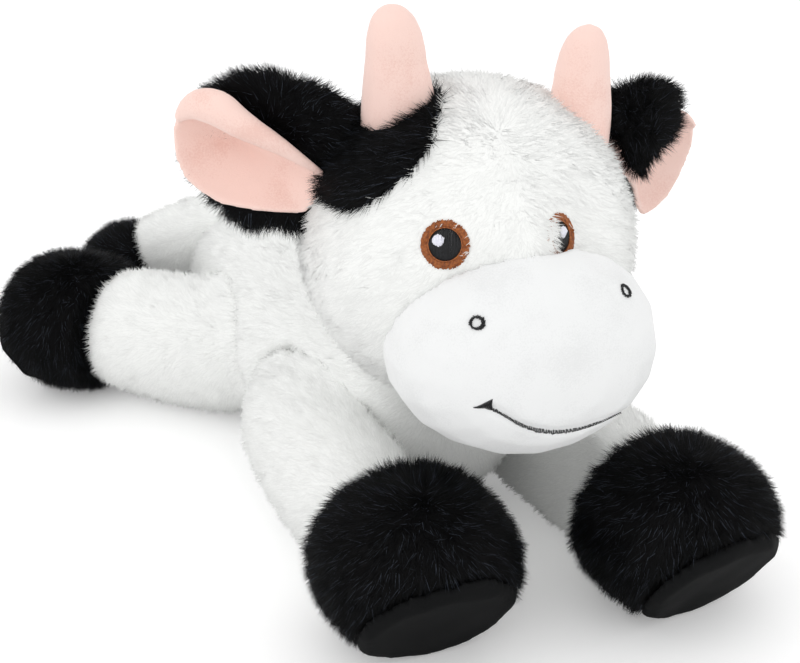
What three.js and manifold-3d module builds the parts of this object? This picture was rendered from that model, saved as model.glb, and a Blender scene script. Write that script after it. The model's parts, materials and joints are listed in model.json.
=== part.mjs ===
// Plush cow lying on its belly with its head up: white trunk and legs, black furry hooves with
// smooth soles, a smooth white muzzle, pink horns, folded ears lined in pink, and an embroidered
// face. Millimetres, +Z up. The cow faces -Y and its own left side is +X. The origin is on the
// floor, under the middle of the whole toy.

import * as THREE from "three";
import { mergeVertices } from "three/addons/utils/BufferGeometryUtils.js";
import Module from "manifold-3d";

const wasm = await Module();
wasm.setup();

// Fabric, seams and rest
const skin = 4; // backing cloth with the base of its pile
const seam_gap = 0.3; // clearance between neighbouring pieces
const rest_flat = 0.5; // how deep the floor flattens each form that lies on it
const overrun = 400; // how far a cutting shape runs past what it cuts

// Facets round and along each kind of stuffed form
const trunk_facets = { around: 20, along: 12 };
const head_facets = { around: 22, along: 12 };
const muzzle_facets = { around: 20, along: 9 };
const leg_facets = { around: 16, along: 8 };
const small_facets = { around: 12, along: 7 };
const ball_facets = { around: 24, along: 12 };
const bay_segments = 24;
const stitch_segments = 16;
const smile_segments = 10;

// Trunk: an egg that is fullest at the hips
const trunk_front = -78;
const trunk_back = 236;
const trunk_width = 138;
const trunk_height = 112;
const trunk_fullness = 2.7;
const trunk_taper_share = 0.04;

// Neck: a ball on the chest that the head sits over
const neck_y = -46;
const neck_z = 112;
const neck_ball_radius = 48;

// Head, measured from the neck: nearly a ball, turned a little to the cow's right
const head_turn_degrees = -10; // about the vertical
const head_side = 3; // middle of the head to the cow's left of the neck
const head_ahead = 28;
const head_above = 56;
const head_length = 154;
const head_width = 159;
const head_height = 158;
const head_fullness = 2.1;

// Muzzle: a wide, low egg on the front of the head
const muzzle_ahead = 62; // its middle in front of the middle of the head
const muzzle_side = 4; // to the cow's left
const muzzle_below = 27;
const muzzle_length = 96;
const muzzle_width = 124;
const muzzle_height = 98;
const muzzle_fullness = 2.2;

// Legs: each hinges about a line across the cow, through the middle of its round root
const leg_seat = 42; // from the middle of the trunk to the flat faces that the legs lie on
const leg_thickness = 84;
const leg_fullness = 2.6;
const leg_root_x = 50;
const leg_lift_degrees = 2; // how far a leg can rise before it meets what lies above it
const chest_skew = 14; // how far the left shoulder lies ahead of the middle, and the right behind
const fore_root_y = 4;
const fore_reach = { x: 13, y: -156 }; // from the root to the middle of the hoof
const hind_root_y = 118;
const hind_reach = { x: 73, y: 88 };
const hoof_length = 88;
const hoof_width = 98;
const hoof_height = 86;
const hoof_fullness = 2.6;
const hoof_seam = 26; // how far the hoof's seam lies behind the middle of the hoof
const sole_thickness = 5;
const sole_inset = 9; // how far the sole lies inside the end of the hoof's outline
const sole_tilt_degrees = 31; // how far the sole leans from upright towards the floor

// Tail: a soft tube on the rump, swept to the right, with a black tuft on its end
const tail_root_x = -8;
const tail_seat_depth = 5; // how deep its flat seat is cut into the rump
const tail_seat_lean_degrees = 14; // back from upright
const tail_length = 56; // from its root to its tuft
const tail_thickness = 48;
const tail_fullness = 3;
const tail_way = { x: -0.81, y: 0.47, z: -0.35 }; // shares of the tail's length
const tuft_length = 62;
const tuft_thickness = 50;
const tuft_overlap = 14; // how far the tuft reaches back over the end of the tail

// Horns
const horn_height = 60;
const horn_radius = 19; // at the base
const horn_fullness = 2.2; // 2 is an ellipsoid, and more has a blunter tip
const horn_side_share = { right: 0.48, left: 0.58 }; // of half the width of the head
const horn_ahead = 18;
const horn_lean_degrees = 4; // outwards
const horn_sunk = { right: 8, left: 18 }; // height inside the head's outline, which is cut off

// Ears: a cupped leaf, black outside and lined in pink
const ear_length = 84;
const ear_width = 62;
const ear_outer_thickness = 6;
const ear_lining_thickness = 2.5;
const ear_lining_inset = 4;
const ear_cup = 16; // how deep the dish of the ear is
const ear_narrow_share = 0.15; // how much narrower the tip is than the middle
const ear_rise_degrees = { right: 8, left: -12 }; // of the tip above the root
const ear_sweep_degrees = 28; // of the tip behind the root
const ear_root_above = 38; // above the middle of the head
const ear_sunk = 12; // how much of its length lies inside the head's outline before it is cut
const ear_range_degrees = 18; // forwards and back
const ear_steps = { along: 3, across: 18 };

// Embroidery
const thread = 1.2; // height of the stitches above the cloth
const eye_side = { right: 33, left: 19 };
const eye_above = { right: 25, left: 24 };
const iris_radius = 10.6;
const pupil_radius = 7.2;
const glint_radius = 2.6;
const glint_shift_x = -2.4; // from the middle of the pupil
const glint_shift_z = 2.2;
const nostril_side = 33;
const nostril_above = 28;
const nostril_outer_radius = 4.6;
const nostril_inner_radius = 2.6;
const smile_half_width = 30;
const smile_below = 12; // its ends, below the middle of the muzzle
const smile_sag = 14;
const smile_thread = 2.2;
const tick_length = 9; // across the end of the smile on the right

// Head patch: black cloth round the root of the right horn and ear
const patch_radius = 40;
const patch_side = -53;
const patch_ahead = 3;
const patch_above = 58;
const patch_skin = 2;

const plush = (color) =>
  new THREE.MeshStandardMaterial({ color, roughness: 1, metalness: 0 });
const white_plush = plush("#f2f3f1");
const black_plush = plush("#0d0e11");
const white_minky = plush("#efeff0");
const pink_minky = plush("#f4cfc4");
const black_minky = plush("#17181a");
const brown_thread = plush("#8a4b2c");
const black_thread = plush("#1c1c1e");
const white_thread = plush("#e9e9f3");
const fibre_fill = plush("#f7f7f4");

const vec = (x, y, z) => new THREE.Vector3(x, y, z);
const UP = vec(0, 0, 1);
const BACK = vec(0, 1, 0);
const RIGHT_TO_LEFT = vec(1, 0, 0);
const radians = THREE.MathUtils.degToRad;

// The solid of a closed geometry.
function solidOf(geometry) {
  const bare = geometry.clone();
  bare.deleteAttribute("normal");
  bare.deleteAttribute("uv");
  const merged = mergeVertices(bare);
  return new wasm.Manifold(
    new wasm.Mesh({
      numProp: 3,
      vertProperties: merged.attributes.position.array,
      triVerts: new Uint32Array(merged.index.array),
    }),
  );
}

// A named mesh of a solid.
function piece(name, solid, material) {
  const { vertProperties, triVerts } = solid.getMesh();
  const geometry = new THREE.BufferGeometry();
  geometry.setAttribute("position", new THREE.BufferAttribute(vertProperties, 3));
  geometry.setIndex(new THREE.BufferAttribute(triVerts, 1));
  geometry.computeVertexNormals();
  const mesh = new THREE.Mesh(geometry, material);
  mesh.name = name;
  return mesh;
}

// A stuffed form between two end points: rings that swell from nothing to the full width and
// height and close again. Fullness 2 is an ellipsoid and more is plumper at the ends. A taper
// share above 0 makes the far end larger. The offset grows the form evenly on all sides.
function plumpGeometry({ from, to, width, height, fullness, taper_share = 0, facets }, offset) {
  const axis = vec().subVectors(to, from);
  const half = axis.length() / 2 + offset;
  axis.normalize();
  const side = vec().crossVectors(axis, UP).normalize();
  const top = vec().crossVectors(side, axis);
  const middle = vec().addVectors(from, to).multiplyScalar(1 / 2);
  const ringPoint = (u, reach, angle) => {
    const swell = reach * (1 + taper_share * u);
    return middle
      .clone()
      .addScaledVector(axis, half * u)
      .addScaledVector(side, swell * (width / 2 + offset) * Math.cos(angle))
      .addScaledVector(top, swell * (height / 2 + offset) * Math.sin(angle));
  };
  const points = [ringPoint(-1, 0, 0)];
  for (let i = 1; i < facets.along; i++) {
    const phi = (Math.PI * i) / facets.along;
    const u = -Math.sign(Math.cos(phi)) * Math.abs(Math.cos(phi)) ** (2 / fullness);
    const reach = Math.sin(phi) ** (2 / fullness);
    for (let j = 0; j < facets.around; j++)
      points.push(ringPoint(u, reach, (2 * Math.PI * j) / facets.around));
  }
  points.push(ringPoint(1, 0, 0));
  const last = points.length - 1;
  const at = (i, j) => 1 + (i - 1) * facets.around + (j % facets.around);
  const index = [];
  for (let j = 0; j < facets.around; j++) {
    index.push(0, at(1, j), at(1, j + 1));
    index.push(last, at(facets.along - 1, j + 1), at(facets.along - 1, j));
    for (let i = 1; i < facets.along - 1; i++) {
      index.push(at(i, j), at(i + 1, j), at(i, j + 1));
      index.push(at(i, j + 1), at(i + 1, j), at(i + 1, j + 1));
    }
  }
  return new THREE.BufferGeometry().setFromPoints(points).setIndex(index);
}

const plump = (form, offset = 0) => solidOf(plumpGeometry(form, offset));

function ball(centre, radius) {
  const geometry = new THREE.SphereGeometry(radius, ball_facets.around, ball_facets.along);
  return solidOf(geometry.rotateX(Math.PI / 2).translate(centre.x, centre.y, centre.z));
}

// A round bar between two points.
function bar(from, to, radius, segments) {
  const along = vec().subVectors(to, from);
  const geometry = new THREE.CylinderGeometry(radius, radius, along.length(), segments);
  const turn = new THREE.Quaternion().setFromUnitVectors(BACK, along.clone().normalize());
  const middle = vec().addVectors(from, to).multiplyScalar(1 / 2);
  return solidOf(geometry.applyQuaternion(turn).translate(middle.x, middle.y, middle.z));
}

// All the space past a plane, on the side that its outward direction points to.
function past(point, outward) {
  const geometry = new THREE.BoxGeometry(2 * overrun, 2 * overrun, overrun);
  geometry.translate(0, 0, overrun / 2);
  const turn = new THREE.Quaternion().setFromUnitVectors(UP, outward.clone().normalize());
  return solidOf(geometry.applyQuaternion(turn).translate(point.x, point.y, point.z));
}

const onward = (point, way, distance) => point.clone().addScaledVector(way, distance);
const under_floor = past(vec(0, 0, 0), vec(0, 0, -1));
const sides = [
  { name: "right", sign: -1 },
  { name: "left", sign: 1 },
];
const cow = new THREE.Group();

// Legs: where each one hinges, and what it needs free of the trunk
const leg_axis_z = leg_thickness / 2 - rest_flat;
const legs = sides.flatMap(({ name, sign }) => {
  const fore_y = fore_root_y - sign * chest_skew;
  return [
    { name: "fore", side: name, sign, root_y: fore_y, reach: fore_reach, toward: -1 },
    { name: "hind", side: name, sign, root_y: hind_root_y, reach: hind_reach, toward: 1 },
  ];
});

// The leg's bay beside the trunk: a disc about the leg's hinge and all that lies on the hoof's
// side of it, as high as the leg can lift.
function legBay({ sign, root_y, toward }, clear) {
  const face = sign * (leg_seat - clear);
  const disc = bar(
    vec(face, root_y, leg_axis_z),
    vec(sign * overrun, root_y, leg_axis_z),
    leg_thickness / 2 + seam_gap + clear,
    bay_segments,
  );
  const lift = radians(leg_lift_degrees);
  const ceiling = vec(0, root_y, leg_axis_z + leg_thickness / 2 + seam_gap + clear);
  const below = past(ceiling, vec(0, toward * Math.sin(lift), -Math.cos(lift)));
  return past(vec(0, root_y, 0), vec(0, toward, 0))
    .intersect(past(vec(face, 0, 0), vec(sign, 0, 0)))
    .intersect(below)
    .add(disc);
}

// Trunk with its neck, and the stuffing inside
const trunk_axis_z = trunk_height / 2 - rest_flat;
const neck = vec(0, neck_y, neck_z);
const trunk_form = {
  from: vec(0, trunk_front, trunk_axis_z),
  to: vec(0, trunk_back, trunk_axis_z),
  width: trunk_width,
  height: trunk_height,
  fullness: trunk_fullness,
  taper_share: trunk_taper_share,
  facets: trunk_facets,
};
const seat_lean = radians(tail_seat_lean_degrees);
const seat_way = vec(0, Math.cos(seat_lean), Math.sin(seat_lean));

// The rump's rear face along the way that the tail's seat faces
function rumpReach() {
  const raycaster = new THREE.Raycaster();
  const start = vec(tail_root_x, trunk_back - trunk_height / 2, trunk_axis_z);
  raycaster.set(onward(start, seat_way, overrun), seat_way.clone().negate());
  const skin_mesh = new THREE.Mesh(plumpGeometry(trunk_form, 0));
  return raycaster.intersectObject(skin_mesh)[0].point;
}
const tail_seat = onward(rumpReach(), seat_way, -tail_seat_depth);

function trunkSolid(offset, clear) {
  let solid = plump(trunk_form, offset).add(ball(neck, neck_ball_radius + offset));
  for (const leg of legs) solid = solid.subtract(legBay(leg, clear));
  return solid.subtract(past(onward(tail_seat, seat_way, -clear), seat_way));
}
const hollow = plump(trunk_form, -skin).add(ball(neck, neck_ball_radius - skin));
const trunk_skin = trunkSolid(0, 0).subtract(hollow).subtract(under_floor);
cow.add(piece("trunk_skin", trunk_skin, white_plush));
cow.add(piece("trunk_stuffing", trunkSolid(-skin - seam_gap, seam_gap), fibre_fill));

// Tail and its tuft
const tail_direction = vec(tail_way.x, tail_way.y, tail_way.z).normalize();
const tail_root = onward(tail_seat, seat_way, tail_thickness / 2 - tail_seat_depth);
const tail_end = onward(tail_root, tail_direction, tail_length);
const tail_form = {
  from: onward(tail_root, tail_direction, -tail_thickness / 2),
  to: onward(tail_end, tail_direction, tuft_overlap),
  width: tail_thickness,
  height: tail_thickness,
  fullness: tail_fullness,
  facets: small_facets,
};
const tuft_form = {
  from: onward(tail_end, tail_direction, -tuft_overlap),
  to: onward(tail_end, tail_direction, tuft_length - tuft_overlap),
  width: tuft_thickness,
  height: tuft_thickness,
  fullness: 2,
  facets: small_facets,
};
const tail = plump(tail_form)
  .subtract(past(tail_end, tail_direction))
  .subtract(past(onward(tail_seat, seat_way, seam_gap), seat_way.clone().negate()));
const tuft = plump(tuft_form).subtract(
  past(onward(tail_end, tail_direction, seam_gap), tail_direction.clone().negate()),
);
cow.add(piece("tail", tail, white_plush));
cow.add(piece("tail_tuft", tuft, black_plush));

// One leg with its hoof and sole
function addLeg({ name, side, sign, root_y, reach }) {
  const root = vec(sign * leg_root_x, root_y, leg_axis_z);
  const hoof_z = hoof_height / 2 - rest_flat;
  const hoof_middle = vec(root.x + sign * reach.x, root_y + reach.y, hoof_z);
  const way = vec(sign * reach.x, reach.y, 0).normalize();
  const leg_form = {
    from: onward(root, way, -leg_thickness / 2),
    to: hoof_middle.clone().setZ(leg_axis_z),
    width: leg_thickness,
    height: leg_thickness,
    fullness: leg_fullness,
    facets: leg_facets,
  };
  const hoof_form = {
    from: onward(hoof_middle, way, -hoof_length / 2),
    to: onward(hoof_middle, way, hoof_length / 2),
    width: hoof_width,
    height: hoof_height,
    fullness: hoof_fullness,
    facets: leg_facets,
  };
  const seam = onward(hoof_middle, way, -hoof_seam);
  const tilt = radians(sole_tilt_degrees);
  const facing = vec(0, 0, -Math.sin(tilt)).addScaledVector(way, Math.cos(tilt));
  const sole_back = onward(hoof_middle, facing, hoof_length / 2 - sole_inset - sole_thickness);
  const leg = plump(leg_form)
    .subtract(past(seam, way))
    .subtract(past(vec(sign * (leg_seat + seam_gap), 0, 0), vec(-sign, 0, 0)))
    .subtract(under_floor);
  const hoof = plump(hoof_form)
    .subtract(past(onward(seam, way, seam_gap), way.clone().negate()))
    .subtract(under_floor);
  const sole = hoof
    .subtract(past(onward(sole_back, facing, seam_gap), facing.clone().negate()))
    .subtract(past(onward(sole_back, facing, sole_thickness), facing));
  cow.add(piece(`${name}leg_${side}`, leg, white_plush));
  cow.add(piece(`${name}_hoof_${side}`, hoof.subtract(past(sole_back, facing)), black_plush));
  cow.add(piece(`${name}_sole_${side}`, sole, black_minky));
}
legs.forEach(addLeg);

// Head: everything from here on is measured from the neck, in a group turned about it
const head = new THREE.Group();
head.position.copy(neck);
head.rotation.z = radians(head_turn_degrees);
cow.add(head);
const head_middle = vec(head_side, -head_ahead, head_above);
const head_form = {
  from: onward(head_middle, BACK, head_length / 2),
  to: onward(head_middle, BACK, -head_length / 2),
  width: head_width,
  height: head_height,
  fullness: head_fullness,
  facets: head_facets,
};
const facet_share = Math.cos(Math.PI / ball_facets.around) * Math.cos(Math.PI / 2 / ball_facets.along);
const neck_room_radius = (neck_ball_radius + seam_gap) / facet_share;
const neckRoom = (clear) => ball(vec(0, 0, 0), neck_room_radius + clear);
const head_skin = plump(head_form).subtract(plump(head_form, -skin)).subtract(neckRoom(0));
const head_stuffing = plump(head_form, -skin - seam_gap).subtract(neckRoom(seam_gap));
head.add(piece("head_skin", head_skin, white_plush));
head.add(piece("head_stuffing", head_stuffing, fibre_fill));

// A layer that lies on a form, in front of it by the seam gap and a height
const layerOn = (form, height, thickness) =>
  plump(form, seam_gap + height + thickness).subtract(plump(form, seam_gap + height));

// Head patch
const patch_middle = head_middle.clone().add(vec(patch_side, -patch_ahead, patch_above));
const head_patch = layerOn(head_form, 0, patch_skin).intersect(ball(patch_middle, patch_radius));
head.add(piece("head_patch", head_patch, black_plush));

// Muzzle, and the chin below the line of the mouth
const muzzle_middle = head_middle.clone().add(vec(muzzle_side, -muzzle_ahead, -muzzle_below));
const muzzle_form = {
  from: onward(muzzle_middle, BACK, muzzle_length / 2),
  to: onward(muzzle_middle, BACK, -muzzle_length / 2),
  width: muzzle_width,
  height: muzzle_height,
  fullness: muzzle_fullness,
  facets: muzzle_facets,
};
const smile_z = muzzle_middle.z - smile_below;

// A sheet through the whole muzzle along the mouth's line, between two heights over that line
function mouthSheet(low, high) {
  const shape = new THREE.Shape();
  shape.moveTo(-overrun, low);
  shape.lineTo(-smile_half_width, low);
  shape.quadraticCurveTo(0, low - 2 * smile_sag, smile_half_width, low);
  shape.lineTo(overrun, low);
  shape.lineTo(overrun, high);
  shape.lineTo(smile_half_width, high);
  shape.quadraticCurveTo(0, high - 2 * smile_sag, -smile_half_width, high);
  shape.lineTo(-overrun, high);
  const depth = 2 * overrun;
  const geometry = new THREE.ExtrudeGeometry(shape, {
    depth,
    bevelEnabled: false,
    curveSegments: smile_segments,
  });
  geometry.translate(0, 0, -depth / 2).rotateX(Math.PI / 2);
  return solidOf(geometry.translate(muzzle_middle.x, 0, smile_z));
}
const muzzle_all = plump(muzzle_form).subtract(plump(head_form, seam_gap)).subtract(neckRoom(0));
const above_mouth = mouthSheet(seam_gap / 2, overrun);
const below_mouth = mouthSheet(-overrun, -seam_gap / 2);
head.add(piece("muzzle", muzzle_all.intersect(above_mouth), white_minky));
head.add(piece("chin", muzzle_all.intersect(below_mouth), white_minky));

// Embroidered smile, with a tick across its right end
const stitched = layerOn(muzzle_form, 0, thread).subtract(plump(head_form, seam_gap));
const smile_end = (sign) => muzzle_middle.x + sign * smile_half_width;
const between = (low, high) =>
  past(vec(low, 0, 0), RIGHT_TO_LEFT).subtract(past(vec(high, 0, 0), RIGHT_TO_LEFT));
const across_smile = between(smile_end(-1), smile_end(1));
const in_front = past(muzzle_middle, vec(0, -1, 0));
const tick_x = smile_end(-1);
const tick = bar(
  vec(tick_x, -overrun, smile_z),
  vec(tick_x, muzzle_middle.y, smile_z),
  tick_length / 2,
  smile_segments,
).intersect(between(tick_x - smile_thread / 2, tick_x + smile_thread / 2));
const smile_line = mouthSheet(-smile_thread / 2, smile_thread / 2)
  .intersect(across_smile)
  .intersect(in_front)
  .add(tick);
head.add(piece("smile_stitching", stitched.intersect(smile_line), black_thread));

// Where the front of an egg faces at a side and a height from its middle
function onFront({ from, to, width, height }, side, above) {
  const half = vec(width / 2, from.distanceTo(to) / 2, height / 2);
  const ahead = half.y * Math.sqrt(1 - (side / half.x) ** 2 - (above / half.z) ** 2);
  const middle = vec().addVectors(from, to).multiplyScalar(1 / 2);
  const out = vec(side / half.x ** 2, -ahead / half.y ** 2, above / half.z ** 2).normalize();
  return { at: middle.add(vec(side, -ahead, above)), out };
}
const discOn = ({ at, out }, radius) =>
  bar(onward(at, out, -radius), onward(at, out, overrun), radius, stitch_segments);

// Nostrils
for (const { name, sign } of sides) {
  const spot = onFront(muzzle_form, sign * nostril_side, nostril_above);
  const ring = discOn(spot, nostril_outer_radius).subtract(discOn(spot, nostril_inner_radius));
  head.add(piece(`nostril_${name}`, stitched.intersect(ring), black_thread));
}

// Eyes: a stitched iris round a stitched pupil with a glint on it. The muzzle's edge covers the
// foot of the left one.
const eye_layer = layerOn(head_form, 0, thread).subtract(plump(muzzle_form, seam_gap));
const glint_layer = layerOn(head_form, thread + seam_gap, thread);
const glint_shift = vec(glint_shift_x, 0, glint_shift_z);
for (const { name, sign } of sides) {
  const spot = onFront(head_form, sign * eye_side[name], eye_above[name]);
  const iris = discOn(spot, iris_radius).subtract(discOn(spot, pupil_radius + seam_gap));
  const glint = discOn({ ...spot, at: spot.at.clone().add(glint_shift) }, glint_radius);
  head.add(piece(`eye_iris_${name}`, eye_layer.intersect(iris), brown_thread));
  const pupil = eye_layer.intersect(discOn(spot, pupil_radius));
  head.add(piece(`eye_pupil_${name}`, pupil, black_thread));
  head.add(piece(`eye_glint_${name}`, glint_layer.intersect(glint), white_thread));
}

// What the horns and ears are cut by: the head's cloth, and on the right the patch on it
const headCloth = (sign) => plump(head_form, sign < 0 ? patch_skin + 2 * seam_gap : seam_gap);

// Horns
function hornGeometry() {
  const profile = [new THREE.Vector2(0, 0)];
  for (let i = 0; i <= small_facets.along; i++) {
    const share = Math.sin((Math.PI / 2) * (i / small_facets.along));
    const reach = (1 - Math.min(share, 1) ** horn_fullness) ** (1 / 2);
    profile.push(new THREE.Vector2(horn_radius * reach, horn_height * share));
  }
  return new THREE.LatheGeometry(profile, small_facets.around);
}
for (const { name, sign } of sides) {
  const across = horn_side_share[name];
  const top = (head_height / 2) * Math.sqrt(1 - across * across);
  const foot_x = sign * across * (head_width / 2);
  const foot = vec(foot_x, -horn_ahead, top - horn_sunk[name]).add(head_middle);
  const geometry = hornGeometry()
    .rotateX(Math.PI / 2)
    .rotateY(sign * radians(horn_lean_degrees))
    .translate(foot.x, foot.y, foot.z);
  head.add(piece(`horn_${name}`, solidOf(geometry).subtract(headCloth(sign)), pink_minky));
}

// Ears: a dish with the outline of a leaf, from its root outwards, between two depths
function dishGeometry(length, width, cup, front, back) {
  const { along: rings, across: spokes } = ear_steps;
  const layer = (ring, spoke, depth) => {
    const share = ring / rings;
    const angle = (2 * Math.PI * spoke) / spokes;
    const x = share * Math.cos(angle);
    const z = share * Math.sin(angle);
    const narrow = 1 - ear_narrow_share * x * x * Math.sign(x);
    return vec((x + 1) * (length / 2), cup * (1 - share * share) + depth, z * (width / 2) * narrow);
  };
  const points = [];
  for (const depth of [front, back]) {
    points.push(layer(0, 0, depth));
    for (let ring = 1; ring <= rings; ring++)
      for (let spoke = 0; spoke < spokes; spoke++) points.push(layer(ring, spoke, depth));
  }
  const size = 1 + rings * spokes;
  const at = (face, ring, spoke) =>
    face * size + (ring === 0 ? 0 : 1 + (ring - 1) * spokes + (spoke % spokes));
  const index = [];
  for (let j = 0; j < spokes; j++) {
    index.push(at(0, 0, j), at(0, 1, j), at(0, 1, j + 1));
    index.push(at(1, 0, j), at(1, 1, j + 1), at(1, 1, j));
    for (let i = 1; i < rings; i++) {
      index.push(at(0, i, j), at(0, i + 1, j), at(0, i + 1, j + 1));
      index.push(at(0, i, j), at(0, i + 1, j + 1), at(0, i, j + 1));
      index.push(at(1, i, j), at(1, i + 1, j + 1), at(1, i + 1, j));
      index.push(at(1, i, j), at(1, i, j + 1), at(1, i + 1, j + 1));
    }
    index.push(at(0, rings, j), at(1, rings, j), at(1, rings, j + 1));
    index.push(at(0, rings, j), at(1, rings, j + 1), at(0, rings, j + 1));
  }
  return new THREE.BufferGeometry().setFromPoints(points).setIndex(index);
}

for (const { name, sign } of sides) {
  const rise = radians(ear_rise_degrees[name]);
  const sweep = radians(ear_sweep_degrees);
  const out = vec(
    sign * Math.cos(rise) * Math.cos(sweep),
    Math.cos(rise) * Math.sin(sweep),
    Math.sin(rise),
  );
  const back = BACK.clone().addScaledVector(out, -BACK.dot(out)).normalize();
  const root_side = (head_width / 2) * Math.sqrt(1 - (ear_root_above / (head_height / 2)) ** 2);
  const root = vec(sign * root_side, 0, ear_root_above).add(head_middle);
  const frame = new THREE.Matrix4().makeBasis(out, back, vec().crossVectors(out, back));
  const placed = (geometry) => {
    geometry.translate(-ear_sunk, 0, 0).applyMatrix4(frame).translate(root.x, root.y, root.z);
    return solidOf(geometry);
  };
  const hinge = vec().crossVectors(out, back);
  let cloth = headCloth(sign);
  for (const degrees of [-ear_range_degrees, ear_range_degrees]) {
    const turned = plumpGeometry(head_form, sign < 0 ? patch_skin + 2 * seam_gap : seam_gap)
      .translate(-root.x, -root.y, -root.z)
      .applyQuaternion(new THREE.Quaternion().setFromAxisAngle(hinge, radians(degrees)))
      .translate(root.x, root.y, root.z);
    cloth = cloth.add(solidOf(turned));
  }
  const outer = dishGeometry(ear_length, ear_width, ear_cup, 0, ear_outer_thickness);
  const lining = dishGeometry(
    ear_length - 2 * ear_lining_inset,
    ear_width - 2 * ear_lining_inset,
    ear_cup,
    -seam_gap - ear_lining_thickness,
    -seam_gap,
  ).translate(ear_lining_inset, 0, 0);
  head.add(piece(`ear_${name}`, placed(outer).subtract(cloth), black_plush));
  head.add(piece(`ear_lining_${name}`, placed(lining).subtract(cloth), pink_minky));
}

// The origin goes to the floor under the middle of the whole toy
cow.updateMatrixWorld(true);
const bounds = new THREE.Box3().setFromObject(cow);
const toy_middle = bounds.getCenter(vec());
cow.position.set(-toy_middle.x, -toy_middle.y, -bounds.min.z);

export default cow;
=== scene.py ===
"""The looks of the plush cow: padded bodies, sewn pile, ears, embroidery and a studio."""

import json
import math
import random

import bmesh
import bpy
from mathutils import Matrix, Vector, noise
from mathutils.bvhtree import BVHTree


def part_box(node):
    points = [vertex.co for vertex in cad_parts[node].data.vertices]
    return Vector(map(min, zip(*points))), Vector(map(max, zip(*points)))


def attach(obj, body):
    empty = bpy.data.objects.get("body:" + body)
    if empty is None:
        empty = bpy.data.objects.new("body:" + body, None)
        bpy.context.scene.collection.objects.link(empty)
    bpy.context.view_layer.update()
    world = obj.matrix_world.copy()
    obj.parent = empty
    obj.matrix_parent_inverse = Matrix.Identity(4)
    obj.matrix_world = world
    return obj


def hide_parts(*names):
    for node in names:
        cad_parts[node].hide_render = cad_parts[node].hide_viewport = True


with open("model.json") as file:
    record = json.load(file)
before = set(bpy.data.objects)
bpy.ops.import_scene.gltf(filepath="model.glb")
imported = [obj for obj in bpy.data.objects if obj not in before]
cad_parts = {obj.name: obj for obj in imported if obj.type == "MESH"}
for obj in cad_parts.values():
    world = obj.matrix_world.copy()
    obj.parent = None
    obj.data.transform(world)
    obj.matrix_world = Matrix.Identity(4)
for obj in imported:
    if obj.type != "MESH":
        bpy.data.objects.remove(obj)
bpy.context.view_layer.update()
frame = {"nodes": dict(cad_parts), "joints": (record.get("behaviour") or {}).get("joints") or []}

bl_info = {
    "name": "Plush Cow",
    "version": (1, 0, 0),
    "blender": (4, 5, 0),
    "location": "3D View > Sidebar > Plush Cow",
    "description": "Dresses the plush cow's frame in padded cloth, pile and embroidery",
    "category": "Object",
}

MM = 0.001
PER_M2 = 10000  # square centimetres in a square metre
FLOOR_GAP = 0.0004  # how far off the floor a fibre that meets it lies, in metres
BARE_BELOW = 0.003  # no pile grows on cloth that is pressed on the floor, in metres
SCATTER = 0.45  # how far fibres stray from the nap
GROUND_SHADE = 0.95  # how far a fibre is shaded as the cloth under it is
JOINTS = {joint["name"]: joint for joint in frame["joints"]}

# The head's own measures are in millimetres from the neck joint: to the cow's left, ahead
# and above. The head is turned a little to the cow's right.
NECK = Vector(JOINTS["head_nod"]["pos_m"])
HEAD_TURN = Matrix.Rotation(math.radians(-10), 3, "Z")
HEAD_MIDDLE = Vector((3, 28, 56))

# Where the picture was taken from: its aim, its angles, its distance and its view.
AIM = NECK + Vector((0.0, 0.046, -0.022))
CAMERA_AZIMUTH = math.radians(-27)
CAMERA_ELEVATION = math.radians(24)
CAMERA_DISTANCE = 0.800
FOCAL_PIXELS = 1480
PICTURE = (800, 663)
CAMERA_BACK = Vector(
    (
        math.sin(CAMERA_AZIMUTH) * math.cos(CAMERA_ELEVATION),
        -math.cos(CAMERA_AZIMUTH) * math.cos(CAMERA_ELEVATION),
        math.sin(CAMERA_ELEVATION),
    )
)
CAMERA_PLACE = AIM + CAMERA_BACK * CAMERA_DISTANCE

# Points of the picture, in its pixels, that place the face on the head.
EYES = {"right": (445.0, 244.5), "left": (558.5, 237.0)}
NOSTRILS = {"right": (476.5, 323.0), "left": (625.5, 291.0)}
PATCH_EDGE = (
    (437, 92), (434, 118), (430, 140), (421, 157), (408, 171), (396, 182), (380, 193),
    (364, 202), (351, 206), (340, 204), (330, 197), (322, 189),
)  # fmt: skip
MOUTH = (
    (493.5, 409.5), (503, 414.5), (513, 420.5), (524, 426), (537, 430), (551, 432),
    (565, 431.3), (578, 429), (590, 425.5), (602, 421), (616, 414), (630, 407.5),
)  # fmt: skip
MOUTH_STITCH_MM = (1.3, 0.9, 1.2, 1.6, 2.0, 2.1, 1.9, 1.5, 1.1, 0.8, 0.5, 0.4)
TICK = ((473.6, 407.5), (493.0, 397.0), (492.5, 410.0))

# The embroidery in millimetres: radii, the step from stitch to stitch, half a thread and how
# far a glint lies across and up. Then counts of stitches, and a twist in radians.
IRIS, IRIS_HOLE, PUPIL, GLINT = 10.4, 7.0, 7.0, 2.5
SATIN_STEP, EYE_THREAD, NOSTRIL_THREAD, SMILE_THREAD = 0.42, 0.27, 0.22, 0.24
GLINT_PLACE = {"right": (-2.9, 1.6), "left": (2.0, 1.6)}
NOSTRIL_HOLE, NOSTRIL = 2.1, 3.4
NOSTRIL_STITCHES, SMILE_STITCHES, TICK_STITCHES, NOSTRIL_TWIST = 44, 80, 14, 0.25

# How wide each horn is along its length, from foot to tip, as a share of its solid.
HORNS = {
    "right": (0.95, 0.93, 0.88, 0.86, 0.98, 1.12),
    "left": (0.80, 0.80, 0.80, 0.82, 0.92, 1.05),
}

# Each coat's fibre: whether it is pile or fur, and its thickness and bend in millimetres.
COATS = {"white": ("pile", 0.55, 1.6), "black": ("fur", 0.32, 1.8)}


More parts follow.
